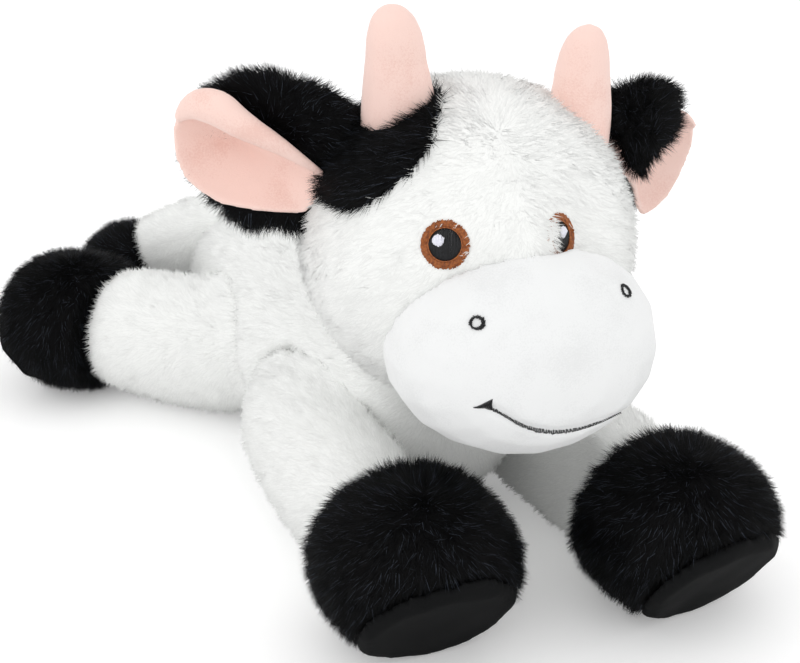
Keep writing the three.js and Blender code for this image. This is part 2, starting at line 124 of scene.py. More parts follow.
def srgb(code):
    """A linear colour from a colour's six-figure code."""
    parts = [int(code[i : i + 2], 16) / 255 for i in (0, 2, 4)]
    return [c / 12.92 if c <= 0.04045 else ((c + 0.055) / 1.055) ** 2.4 for c in parts] + [1.0]


def head_way(side, ahead, above):
    """A direction in the head's own measures."""
    return HEAD_TURN @ Vector((side, -ahead, above))


def head_point(side, ahead, above):
    """A point in the head's own measures."""
    return NECK + head_way(side, ahead, above) * MM


def in_head(at):
    """How far a place lies to the side, ahead and above, in the head's own measures."""
    own = HEAD_TURN.inverted() @ (at - NECK) / MM
    return Vector((own.x, -own.y, own.z))


def eased(value, low, high):
    """Rises smoothly from 0 at low to 1 at high."""
    share = min(max((value - low) / (high - low), 0.0), 1.0)
    return share * share * (3 - 2 * share)


def between(values, share):
    """A value from a row of evenly spaced ones, read at a share of the way along it."""
    at = min(max(share, 0.0), 1.0) * (len(values) - 1)
    i = min(int(at), len(values) - 2)
    return values[i] + (values[i + 1] - values[i]) * (at - i)


# ---------------------------------------------------------------- materials


def add_node(tree, kind, links=None, **settings):
    """Adds a node with its settings, and its sockets' values or links."""
    node = tree.nodes.new(kind)
    for key, value in settings.items():
        setattr(node, key, value)
    for socket, value in (links or {}).items():
        if isinstance(value, bpy.types.NodeSocket):
            tree.links.new(value, node.inputs[socket])
        else:
            node.inputs[socket].default_value = value
    return node


def set_stops(ramp, *stops):
    """Gives a colour ramp its stops, each a position and a colour or its six-figure code."""
    while len(ramp.elements) < len(stops):
        ramp.elements.new(1.0)
    for element, (position, colour) in zip(ramp.elements, stops):
        element.position = position
        element.color = srgb(colour) if isinstance(colour, str) else colour


def new_material(name, roughness, sheen, specular):
    """A new material with its tree and its shader."""
    material = bpy.data.materials.new(name)
    material.use_nodes = True
    tree = material.node_tree
    shader = tree.nodes["Principled BSDF"]
    shader.inputs["Roughness"].default_value = roughness
    shader.inputs["Sheen Weight"].default_value = sheen
    shader.inputs["Sheen Roughness"].default_value = 0.5
    shader.inputs["Specular IOR Level"].default_value = specular
    return material, tree, shader


def nap_cloth(name, dark, light, nap_mm, bump_mm, roughness=0.9, sheen=0.3):
    """Napped cloth: painted sheen and shade, lighter and darker in clouds where the pile lies this
    way and that, a fine nap in relief.
    """
    material, tree, shader = new_material(name, roughness, sheen, 0.15)
    place = add_node(tree, "ShaderNodeTexCoord").outputs["Object"]
    # Clouds of about 22 mm of painted sheen and shade, as a hand leaves them that strokes the
    # cloth.
    painted_sheen_clouds = add_node(tree, "ShaderNodeTexNoise", {"Vector": place, "Scale": 45.0, "Detail": 3.0})
    nap = add_node(
        tree,
        "ShaderNodeTexNoise",
        {"Vector": place, "Scale": 1.0 / (nap_mm * MM), "Detail": 4.0, "Roughness": 0.65},
    )
    links = {0: painted_sheen_clouds.outputs["Fac"], 1: nap.outputs["Fac"]}
    both = add_node(tree, "ShaderNodeMath", links, operation="ADD")
    tones = add_node(tree, "ShaderNodeValToRGB", {"Fac": both.outputs[0]})
    set_stops(tones.color_ramp, (0.75, dark), (1.0, light))
    tree.links.new(tones.outputs["Color"], shader.inputs["Base Color"])
    relief = add_node(
        tree,
        "ShaderNodeBump",
        {"Height": nap.outputs["Fac"], "Strength": 0.5, "Distance": bump_mm * MM},
    )
    tree.links.new(relief.outputs["Normal"], shader.inputs["Normal"])
    return material


def pile_fibre(name, *stops, roughness=0.7, sheen=0.0, specular=0.2):
    """Loose pile fibres, each with its own shade, which the ramp turns into its colour."""
    material, tree, shader = new_material(name, roughness, sheen, specular)
    shade = add_node(tree, "ShaderNodeAttribute", attribute_name="shade")
    tones = add_node(tree, "ShaderNodeValToRGB", {"Fac": shade.outputs["Fac"]})
    set_stops(tones.color_ramp, *stops)
    tree.links.new(tones.outputs["Color"], shader.inputs["Base Color"])
    return material


def satin_thread(name, dark, light):
    """Shiny rayon embroidery thread, with a painted sheen: a little lighter and darker from stitch
    to stitch.
    """
    material, tree, shader = new_material(name, 0.42, 0.0, 0.4)
    place = add_node(tree, "ShaderNodeTexCoord").outputs["Object"]
    # Painted sheen that changes over about 1 mm, or two stitches: the thread's own twist is too
    # fine to show.
    change = add_node(tree, "ShaderNodeTexNoise", {"Vector": place, "Scale": 900.0, "Detail": 2.0})
    tones = add_node(tree, "ShaderNodeValToRGB", {"Fac": change.outputs["Fac"]})
    set_stops(tones.color_ramp, (0.35, dark), (0.65, light))
    tree.links.new(tones.outputs["Color"], shader.inputs["Base Color"])
    relief = add_node(
        tree,
        "ShaderNodeBump",
        {"Height": change.outputs["Fac"], "Strength": 0.4, "Distance": 0.0002},
    )
    tree.links.new(relief.outputs["Normal"], shader.inputs["Normal"])
    return material


MATERIALS = {}


def make_materials():
    """The cow's own cloths, fibres and threads."""
    own = bpy.context.scene.plush_cow
    MATERIALS.update(
        # Brushed polyester plush: a matt ground, seen only between the fibres that hide it. Its
        # two tones are painted sheen and shade.
        white_plush=nap_cloth(
            "white_polyester_plush", "EBECEA", "F3F4F2", nap_mm=1.8, bump_mm=0.8
        ),
        # Its crimped fibres scatter light, so they look white and have no shine.
        white_pile=pile_fibre("white_pile_fibre", (0.0, "E9EAE8"), (1.0, "F2F3F1"), roughness=0.8),
        black_plush=nap_cloth(
            "black_polyester_plush", "020203", "050506", nap_mm=1.4, bump_mm=1.2, sheen=0.0
        ),
        # Smooth dyed fibres: nearly black, with a painted highlight, a cool glint, on a few of
        # them.
        black_pile=pile_fibre(
            "black_pile_fibre",
            (0.0, "010102"),
            (0.75, "050607"),
            (0.92, "101216"),
            (1.0, "424853"),
            roughness=0.55,
            specular=0.12,
        ),
        # Minky, a knit with a pile of 1 to 2 mm: smooth and soft, with a low sheen. Its nap of
        # tenths of a millimetre is drawn 0.8 mm coarse so that it shows.
        white_minky=nap_cloth("white_minky", "E4E5E5", "EBECEC", nap_mm=0.8, bump_mm=0.25),
        pink_minky=nap_cloth(
            "pink_minky", own.lining_shade, own.lining_lit, nap_mm=0.8, bump_mm=0.25
        ),
        black_minky=nap_cloth(
            "black_minky", "060708", "0B0C0D", nap_mm=0.8, bump_mm=0.3, roughness=0.85, sheen=0.0
        ),
        # Rayon embroidery thread: silky, with its gloss along each stitch.
        brown_thread=satin_thread("brown_satin_thread", own.iris_shade, own.iris_sheen),
        dark_brown_thread=satin_thread("dark_brown_satin_thread", "63301F", "8A4A33"),
        black_thread=satin_thread("black_satin_thread", "08090B", "17181C"),
        white_thread=satin_thread("white_satin_thread", "E0E0EC", "F2F2FA"),
    )


# ---------------------------------------------------------------- shaping


def put(name, data):
    """Puts an object with its data in the scene."""
    thing = bpy.data.objects.new(name, data)
    bpy.context.scene.collection.objects.link(thing)
    return thing


def mesh_of(shape, name):
    """Makes a bmesh a mesh, and frees it."""
    mesh = bpy.data.meshes.new(name)
    shape.to_mesh(mesh)
    shape.free()
    return mesh


def piece_of(shape, name):
    """Puts a bmesh in the scene as a piece at the origin."""
    return put(name, mesh_of(shape, name))


def joined(pieces):
    """One bmesh with the shapes of some pieces."""
    shape = bmesh.new()
    for piece in pieces:
        shape.from_mesh(piece.data)
    return shape


def add_modifier(piece, kind, **settings):
    """Adds a modifier to a piece, with its settings."""
    modifier = piece.modifiers.new(kind.title(), kind)
    for key, value in settings.items():
        setattr(modifier, key, value)


def evaluated(thing):
    """The mesh of an object, with all that its modifiers or its bevel add."""
    graph = bpy.context.evaluated_depsgraph_get()
    return bpy.data.meshes.new_from_object(thing.evaluated_get(graph))


def bake_modifiers(piece):
    """Makes the piece's modifiers part of its mesh."""
    mesh, old = evaluated(piece), piece.data
    piece.modifiers.clear()
    piece.data = mesh
    mesh.name = piece.name
    bpy.data.meshes.remove(old)


def copy_of(nodes, name):
    """One piece with the solids of some nodes, their corners merged."""
    shape = joined(frame["nodes"][node] for node in nodes)
    bmesh.ops.remove_doubles(shape, verts=shape.verts, dist=1e-5)
    bmesh.ops.recalc_face_normals(shape, faces=shape.faces)
    return piece_of(shape, name)


def swell(piece, rise):
    """Moves each point of a piece along its normal, by what rise gives for its place."""
    ways = rows_of(piece.data.vertices, "normal")
    for v, way in zip(piece.data.vertices, ways):
        v.co += way * rise(v.co, way)
    piece.data.update()


def remesh(piece, voxel_mm, relax):
    """Gives a piece an even cloth-like mesh, and rounds its edges as a seam's filling does."""
    add_modifier(piece, "REMESH", mode="VOXEL", voxel_size=voxel_mm * MM)
    add_modifier(piece, "SMOOTH", factor=0.5, iterations=relax)
    bake_modifiers(piece)


def soft_form(nodes, name, voxel_mm, grow_mm=0.0, relax=8, lumps=(1.2, 38.0), seed=0):
    """A padded form from its nodes' solids: even, rounded, filled out and a little lumpy.

    lumps gives the height and the width of its lumps in millimetres.
    """
    piece = copy_of(nodes, name)
    remesh(piece, voxel_mm, relax)
    start = Vector((seed, 0, 0))
    swell(
        piece,
        lambda at, way: (grow_mm + noise.noise(at / (lumps[1] * MM) + start) * lumps[0]) * MM,
    )
    piece.data.shade_smooth()
    return piece


def tree_of(*pieces):
    """The pieces' surfaces as one tree that rays are cast at."""
    shape = joined(pieces)
    tree = BVHTree.FromBMesh(shape)
    shape.free()
    return tree


def depth_in(tree, at):
    """How deep a point lies inside a closed surface, less than 0 outside it."""
    near, out, _, distance = tree.find_nearest(at)
    return math.copysign(distance, (near - at).dot(out))


def inside(tree, at):
    """Whether a point lies inside closed surfaces: a ray from it leaves them once more."""
    crossings, ray = 0, Vector((0.13, 0.21, 0.97)).normalized()
    while crossings < 40:
        hit = tree.ray_cast(at, ray)[0]
        if hit is None:
            break
        crossings += 1
        at = hit + ray * 1e-6
    return crossings % 2 == 1


MISS = 0.015  # how far beside a surface a point of the picture may lie, in metres


def seen(pixel, tree):
    """The place on a surface that a point of the picture shows, and its normal there.

    A point just beside the surface's outline counts as the place of it that is nearest.
    """
    across = Vector((math.cos(CAMERA_AZIMUTH), math.sin(CAMERA_AZIMUTH), 0))
    up = CAMERA_BACK.cross(across)
    ray = -CAMERA_BACK + across * (pixel[0] - PICTURE[0] / 2) / FOCAL_PIXELS
    ray -= up * (pixel[1] - PICTURE[1] / 2) / FOCAL_PIXELS
    ray.normalize()
    at, out = tree.ray_cast(CAMERA_PLACE, ray)[:2]
    if at is None:
        beside = CAMERA_PLACE + ray * CAMERA_DISTANCE
        for _ in range(6):
            at, out = tree.find_nearest(beside)[:2]
            beside = CAMERA_PLACE + ray * (at - CAMERA_PLACE).dot(ray)
        if (beside - at).length > MISS:
            raise RuntimeError(f"the picture's point {pixel} lies beside the surface")
    return at, out


def finish(piece, body, nodes, *cloths, fill=None):
    """Gives a finished piece its cloths and its body, and hides the nodes it stands for."""
    piece.data.materials.clear()
    for cloth in cloths:
        piece.data.materials.append(MATERIALS[cloth])
    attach(piece, body)
    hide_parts(*nodes)


# ---------------------------------------------------------------- pile


def fibre(name, length_mm, width_mm, bend_mm, material):
    """One pile fibre: a three-sided spike that leans over, kept out of the scene."""
    if name in bpy.data.objects:
        return bpy.data.objects[name]
    shape = bmesh.new()
    radius = width_mm * MM / math.sqrt(3)
    root = [
        shape.verts.new((radius * math.cos(angle), radius * math.sin(angle), 0))
        for angle in (math.tau * (k / 3 + 0.25) for k in range(3))
    ]
    point = shape.verts.new((0, bend_mm * MM, length_mm * MM))
    for k in range(3):
        shape.faces.new((root[k - 1], root[k], point))
    mesh = mesh_of(shape, name)
    mesh.materials.append(MATERIALS[material])
    return bpy.data.objects.new(name, mesh)


def pile_tree(strand, per_cm2, seed, lie, clump):
    """The nodes that set fibres at random over a cloth, and lay them along its nap in tufts."""
    tree = bpy.data.node_groups.new("pile_" + strand.name, "GeometryNodeTree")
    for way in ("INPUT", "OUTPUT"):
        tree.interface.new_socket("Geometry", in_out=way, socket_type="NodeSocketGeometry")

    def add(kind, links=None, **settings):
        return add_node(tree, kind, links, **settings)

    # What the comb writes on the cloth, and what differs by chance from fibre to fibre.
    coat, nap = (
        add("GeometryNodeInputNamedAttribute", {"Name": name}, data_type=kind)
        for name, kind in (("coat", "FLOAT"), ("nap", "FLOAT_VECTOR"))
    )
    stray, size = (
        add("FunctionNodeRandomValue", links, data_type="FLOAT_VECTOR")
        for links in (
            {0: (-SCATTER,) * 3, 1: (SCATTER,) * 3, "Seed": seed + 1},
            {0: (0.75, 1.0, 0.6), 1: (1.25, 1.0, 1.15), "Seed": seed + 3},
        )
    )
    shade = add("FunctionNodeRandomValue", {2: 0.0, 3: 1.0, "Seed": seed + 2}, data_type="FLOAT")

    links = {0: coat.outputs["Attribute"], 1: per_cm2 * PER_M2}
    density = add("ShaderNodeMath", links, operation="MULTIPLY")
    spots = add(
        "GeometryNodeDistributePointsOnFaces",
        {"Mesh": add("NodeGroupInput").outputs[0], "Density": density.outputs[0], "Seed": seed},
    )
    # Tufts of 6 to 7 mm, in which the fibres lean together.
    place = add("GeometryNodeInputPosition").outputs[0]
    lean = add("ShaderNodeTexNoise", {"Vector": place, "Scale": 150.0}).outputs["Color"]
    for operation, links in (
        ("SUBTRACT", {1: (0.5, 0.5, 0.5)}),
        ("SCALE", {"Scale": 4 * clump}),
        ("ADD", {1: nap.outputs["Attribute"]}),
        ("ADD", {1: stray.outputs[0]}),
        ("SCALE", {"Scale": lie}),
    ):
        lean = add("ShaderNodeVectorMath", {0: lean, **links}, operation=operation).outputs[0]
    links = {0: spots.outputs["Normal"], 1: lean}
    way = add("ShaderNodeVectorMath", links, operation="ADD").outputs[0]
    raised = add("FunctionNodeAlignRotationToVector", {"Vector": way}, axis="Z").outputs[0]
    turned = add(
        "FunctionNodeAlignRotationToVector",
        {"Rotation": raised, "Vector": lean},
        axis="Y",
        pivot_axis="Z",
    )
    marked = spots.outputs["Points"]
    for name, kind, value in (
        ("shade", "FLOAT", shade.outputs[1]),
        ("ground", "FLOAT_VECTOR", spots.outputs["Normal"]),
    ):
        links = {"Geometry": marked, "Name": name, "Value": value}
        marked = add(
            "GeometryNodeStoreNamedAttribute", links, data_type=kind, domain="POINT"
        ).outputs["Geometry"]
    one = add("GeometryNodeObjectInfo", {"Object": strand, "As Instance": True})
    many = add(
        "GeometryNodeInstanceOnPoints",
        {
            "Points": marked,
            "Instance": one.outputs["Geometry"],
            "Rotation": turned.outputs[0],
            "Scale": size.outputs[0],
        },
    )
    real = add("GeometryNodeRealizeInstances", {"Geometry": many.outputs["Instances"]})
    # The floor bends back the fibres that would go through it.
    place = add("ShaderNodeSeparateXYZ", {0: add("GeometryNodeInputPosition").outputs[0]})
    links = {0: place.outputs["Z"], 1: FLOOR_GAP}
    height = add("ShaderNodeMath", links, operation="MAXIMUM")
    kept = add(
        "ShaderNodeCombineXYZ",
        {"X": place.outputs["X"], "Y": place.outputs["Y"], "Z": height.outputs[0]},
    )
    laid = add(
        "GeometryNodeSetPosition",
        {"Geometry": real.outputs["Geometry"], "Position": kept.outputs[0]},
    )
    add("NodeGroupOutput", {0: laid.outputs["Geometry"]})
    return tree


def rows_of(items, name):
    """One vector setting of many items, all read at once."""
    flat = [0.0] * (3 * len(items))
    items.foreach_get(name, flat)
    return [Vector(flat[i : i + 3]) for i in range(0, len(flat), 3)]


def comb(cloth, way, bare=None):
    """Writes on a cloth how its nap lies, flat along the cloth, and how thick its coat is.

    bare gives 1 where no pile grows, 0 for a full coat and less than 0 for a thicker one.
    """
    naps, coats = [], []
    for at, out in zip(rows_of(cloth.data.vertices, "co"), rows_of(cloth.data.vertices, "normal")):
        to = way(at, out)
        to = to - out * to.dot(out)
        naps.extend(to.normalized() if to.length > 1e-6 else (0, 0, 0))
        coats.append(0.0 if at.z < BARE_BELOW else 1.0 - (bare(at, out) if bare else 0))
    nap = cloth.data.attributes.new("nap", "FLOAT_VECTOR", "POINT")
    nap.data.foreach_set("vector", naps)
    coat = cloth.data.attributes.new("coat", "FLOAT", "POINT")
    coat.data.foreach_set("value", coats)


def downward(at, out):
    """Nap that hangs back and down."""
    return Vector((0, 1, -0.6))


def grow_pile(
    cloth, name, body, colour, seed, way=downward, bare=None, lie=0.9, clump=0.5, thick=1.0
):  # fmt: skip
    """A coat of fibres on a cloth, as its own piece, shaded as softly as the cloth under it."""
    kind, width_mm, bend_mm = COATS[colour]
    sizes = bpy.context.scene.plush_cow
    length_mm = getattr(sizes, kind + "_length") / MM
    strand = fibre(colour + "_fibre", length_mm, width_mm, bend_mm, colour + "_pile")
    per_cm2 = getattr(sizes, kind + "_per_cm2") * thick
    comb(cloth, way, bare)
    coat = put(name, cloth.data.copy())
    tree = pile_tree(strand, per_cm2 / (1), seed, lie, clump)
    add_modifier(coat, "NODES", node_group=tree)
    bake_modifiers(coat)
    mesh = coat.data
    own = rows_of(mesh.vertices, "normal")
    ground = rows_of(mesh.attributes["ground"].data, "vector")
    mesh.normals_split_custom_set_from_vertices(
        [out.lerp(under, GROUND_SHADE).normalized() for out, under in zip(own, ground)]
    )
    for mark in ("nap", "coat", "ground"):
        mesh.attributes.remove(mesh.attributes[mark])
    for mark in ("nap", "coat"):
        cloth.data.attributes.remove(cloth.data.attributes[mark])
    # Light passes through white polyester fibres, so they don't shade one another.
    coat.visible_shadow = coat.visible_diffuse = colour != "white"
    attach(coat, body)


# ---------------------------------------------------------------- thread


def tubes(name, kind, roundness, rows):
    """Round tubes with closed ends along rows of (place, radius in millimetres), as one mesh."""
    curve = bpy.data.curves.new(name, "CURVE")
    curve.dimensions = "3D"
    curve.bevel_depth = MM
    curve.bevel_resolution = roundness
    curve.resolution_u = 8
    curve.use_fill_caps = True
    for row in rows:
        spline = curve.splines.new(kind)
        spline.points.add(len(row) - 1)
        if kind == "NURBS":
            spline.use_endpoint_u = True
            spline.order_u = 3
        for point, (place, radius) in zip(spline.points, row):
            point.co = (*place, 1.0)
            point.radius = radius
    path = put(name + "_path", curve)
    mesh = evaluated(path)
    bpy.data.objects.remove(path)
    mesh.name = name
    return mesh


def threads(name, lines, radius_mm):
    """Stitches of round thread, each along its own line of places, as one piece."""
    mesh = tubes(name, "POLY", 1, [[(place, radius_mm) for place in line] for line in lines])
    mesh.shade_smooth()
    return put(name, mesh)


class Hoop:
    """A place on the face where a motif is stitched, flat as in a hoop, then laid on the cloth."""

    def __init__(self, at, out, tree):
        self.at, self.out, self.tree = at, out.normalized(), tree
        self.across = Vector((0, 0, 1)).cross(self.out).normalized()
        self.up = self.out.cross(self.across)

    def lay(self, x, y, height_mm):
        """A place on the cloth from millimetres across and up, raised off it."""
        flat = self.at + (self.across * x + self.up * y) * MM
        at, out = self.tree.ray_cast(flat + self.out * 0.03, -self.out)[:2]
        if at is None:
            at, out = flat, self.out
        return at + out * height_mm * MM

    def stitch(self, start, end, height_mm):
        """One satin stitch between two flat points: sunk at its ends, raised between."""
        line = []
        for share in (0.0, 0.2, 0.5, 0.8, 1.0):
            x = start[0] + (end[0] - start[0]) * share
            y = start[1] + (end[1] - start[1]) * share
            line.append(self.lay(x, y, height_mm * (0.25 + 0.75 * math.sin(math.pi * share))))
        return line


def satin_disc(hoop, radius, step, chance, height, rough):
    """Upright satin stitches that fill a disc, uneven at their ends."""
    lines = []
    x = -radius + step / 2
    while x < radius:
        reach = math.sqrt(radius**2 - x**2)
        low, high = (reach + chance.uniform(-rough, rough) for _ in range(2))
        lines.append(hoop.stitch((x, -low), (x + chance.uniform(-0.2, 0.2), high), height))
        x += step
    return lines


def satin_ring(hoop, radius, hole, step, chance, height, rough):
    """Upright satin stitches that fill a ring: the ones above its middle, and the ones below."""
    above, below = [], []
    x = -radius + step / 2
    while x < radius:
        reach = math.sqrt(radius**2 - x**2)
        start = math.sqrt(hole**2 - x**2) if abs(x) < hole else 0.0
        for rows, sign in ((above, 1), (below, -1)):
            end = reach + chance.uniform(-rough, rough)
            rows.append(hoop.stitch((x, sign * start), (x, sign * max(end, start + 0.3)), height))
        x += step
    return above, below


# ---------------------------------------------------------------- pieces


def cloth_colour(name, description, code):
    """A setting for a colour, whose default is given as a six-figure code."""
    return bpy.props.FloatVectorProperty(
        name=name, description=description, default=srgb(code), size=4, min=0, max=1,
        subtype="COLOR",
    )  # fmt: skip


class PlushCowSettings(bpy.types.PropertyGroup):
    """The sizes and colours that a maker would change."""

    pile_length: bpy.props.FloatProperty(
        name="Pile Length", description="Length of a white fibre", default=0.0055, unit="LENGTH"
    )
    fur_length: bpy.props.FloatProperty(
        name="Fur Length", description="Length of a black fibre", default=0.0078, unit="LENGTH"
    )
    pile_per_cm2: bpy.props.FloatProperty(
        name="Pile Density", description="White fibres on a square centimetre", default=60, min=0
    )
    fur_per_cm2: bpy.props.FloatProperty(
        name="Fur Density", description="Black fibres on a square centimetre", default=190, min=0
    )
    # The lining's tones are painted: lit where its nap catches the light, and painted shade where
    # the nap lies over.
    lining_lit: cloth_colour("Lining", "The ears' linings and horns where lit", "F5D5CB")
    lining_shade: cloth_colour("Lining Shade", "The same where their nap lies over", "EDC7BC")
    # The irises' tones are painted: a painted sheen where the thread shines, and painted shade
    # between its stitches.
    iris_sheen: cloth_colour("Iris", "The irises' thread where it shines", "AC642F")
    iris_shade: cloth_colour("Iris Shade", "The irises' thread between its stitches", "7A4020")


LIMBS = tuple(end + "leg_" + side for end in ("fore", "hind") for side in ("right", "left"))
SEAM_REACHES = (0.014, 0.010)  # how far each filling of a seam swells it at most, in metres
SEAM_DEPTH = 0.009  # how deep in its neighbour a form is no longer swollen, in metres
SOLE_RIM = 0.0035  # how near its sole a hoof has no fur, in metres


class BodyOperator(bpy.types.Operator):
    """Makes the stuffed trunk and legs, with full seams between them, and their white pile"""

    bl_idname = "plush_cow.body"
    bl_label = "Make Body"

    def execute(self, context):
        forms = [soft_form(("trunk_stuffing",), "trunk_plush", voxel_mm=4.0, grow_mm=3.0)]
        for i, body in enumerate(LIMBS):
            name = body + "_plush"
            forms.append(soft_form((body,), name, voxel_mm=3.5, grow_mm=-2.5, relax=6, seed=i))
        # The seams are stuffed full: near one, each form swells out to the blend of them all.
        for reach in SEAM_REACHES:
            blend = piece_of(joined(forms), "blend")
            remesh(blend, 4.0, 40)
            hull = tree_of(blend)
            bpy.data.objects.remove(blend)
            plain = [tree_of(form) for form in forms]
            for form, own in zip(forms, plain):
                others = [tree for tree in plain if tree is not own]

                def fill_seam(at, out):
                    deep = max(depth_in(tree, at) for tree in others)
                    share = 1 - eased(deep, 0.0, SEAM_DEPTH)
                    hit, normal, _, far = hull.ray_cast(at + out * 1e-5, out, reach)
                    return far * share if hit is not None and normal.dot(out) > 0.2 else 0.0

                swell(form, fill_seam)
                add_modifier(form, "SMOOTH", factor=0.5, iterations=4)
                bake_modifiers(form)
        for form in forms:
            form.data.shade_smooth()
        trees = {form.name: tree_of(form) for form in forms}
        for i, (body, form) in enumerate(zip(("trunk", *LIMBS), forms)):
            stands_for = ("trunk_skin", "trunk_stuffing") if body == "trunk" else (body,)
            finish(form, body, stands_for, "white_plush", fill=0.7)
            others = [tree for name, tree in trees.items() if name != form.name]

            def bare(at, out):
                return any(inside(tree, at - out * 0.002) for tree in others)

            # The trunk's coat is a tenth thinner, which keeps it under 200,000 triangles.
            thick = 0.9 if body == "trunk" else 1.0
            grow_pile(form, body + "_pile", body, "white", 11 + 10 * i, bare=bare, thick=thick)
        return {"FINISHED"}


class HoovesOperator(bpy.types.Operator):
    """Makes the four furry hooves with their smooth soles"""

    bl_idname = "plush_cow.hooves"
    bl_label = "Make Hooves"

    def execute(self, context):
        for i, body in enumerate(LIMBS):
            end, side = body[:4], body[8:]
            hoof_node, sole_node = f"{end}_hoof_{side}", f"{end}_sole_{side}"
            name = f"{end}_hoof_plush_{side}"
            hoof = soft_form((hoof_node,), name, voxel_mm=3.0, grow_mm=-2.5, seed=7 + i)
            finish(hoof, body, (hoof_node,), "black_plush", fill=0.7)
            sole = soft_form(
                (sole_node,), f"{end}_sole_pad_{side}", voxel_mm=1.5, grow_mm=0.6, relax=4,
                lumps=(0.9, 22.0), seed=5 + i,
            )  # fmt: skip
            finish(sole, body, (sole_node,), "black_minky", fill=0.5)
            low, high = (Vector(corner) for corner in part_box(hoof_node))
            middle = (low + high) / 2
            pad = tree_of(sole)

            def outward(at, out):
                return (at - middle).normalized() * 0.6 + Vector((0, 0, -0.5))

            def bare(at, out):
                return pad.find_nearest(at)[3] < SOLE_RIM

            fur = f"{end}_hoof_fur_{side}"
            grow_pile(hoof, fur, body, "black", 71 + 10 * i, outward, bare, lie=0.7, clump=0.8)
        return {"FINISHED"}


class TailOperator(bpy.types.Operator):
    """Makes the tail with its black tuft"""

    bl_idname = "plush_cow.tail"
    bl_label = "Make Tail"

    def execute(self, context):
        lumps = (0.8, 25.0)
        lobe = soft_form(("tail",), "tail_plush", voxel_mm=2.5, grow_mm=1.0, lumps=lumps)
        finish(lobe, "tail", ("tail",), "white_plush", fill=0.6)
        grow_pile(lobe, "tail_pile", "tail", "white", 201)
        tuft = soft_form(("tail_tuft",), "tail_tuft_plush", voxel_mm=2.5, lumps=lumps)
        finish(tuft, "tail", ("tail_tuft",), "black_plush", fill=0.6)
        grow_pile(tuft, "tail_tuft_fur", "tail", "black", 211, clump=0.8)
        return {"FINISHED"}


# A horn's axis runs from the middle of its foot to the middle of its tip, which are this high.
# It stands back from the camera, and further at its foot than at its tip, in metres.
HORN_FOOT, HORN_TIP, HORN_BACK, HORN_FOOT_BACK = 0.012, 0.004, 0.006, 0.015
HORN_CUT = 0.035  # the share of its length that a horn is shorter than its solid
# How far the coat stays off an eye on the side of its bridge and on the other, and the thick
# tuft of the bridge that hangs over the left eye: its reach, in metres as they are, and how
# many times thicker it is.
EYE_INNER, EYE_OUTER, EYE_TUFT_REACH, EYE_TUFT = 0.0116, 0.0106, 0.0125, 12.0
# The patch: its middle from the head's in millimetres, how far it reaches where the picture
# hides its edge, how far it lies off the head, and its thickness, in metres.
PATCH_MIDDLE = Vector((-53, 3, 58))
PATCH_REACH, PATCH_LIFT, PATCH_THICK = 0.040, 0.0012, 0.002
PATCH_PAST = 0.0015  # how far it goes past the picture's edge, in metres
PATCH_GAP = 0.8  # the angle between two of the edge's points that is a hidden gap, in radians


def face_relief(at, out):
    """How the face stands proud of a ball: a ridge between the eyes, and an eye's hollow."""
    side, ahead, above = in_head(at) - HEAD_MIDDLE
    if ahead < 30:
        return 0.0
    level = math.exp(-(((above - 25) / 17) ** 2))
    ridge = 3.2 * math.exp(-((side / 9) ** 2))
    hollow = 6.5 * eased(side, 6, 30) * (1 - eased(side, 34, 54))
    return (ridge - hollow) * level * MM


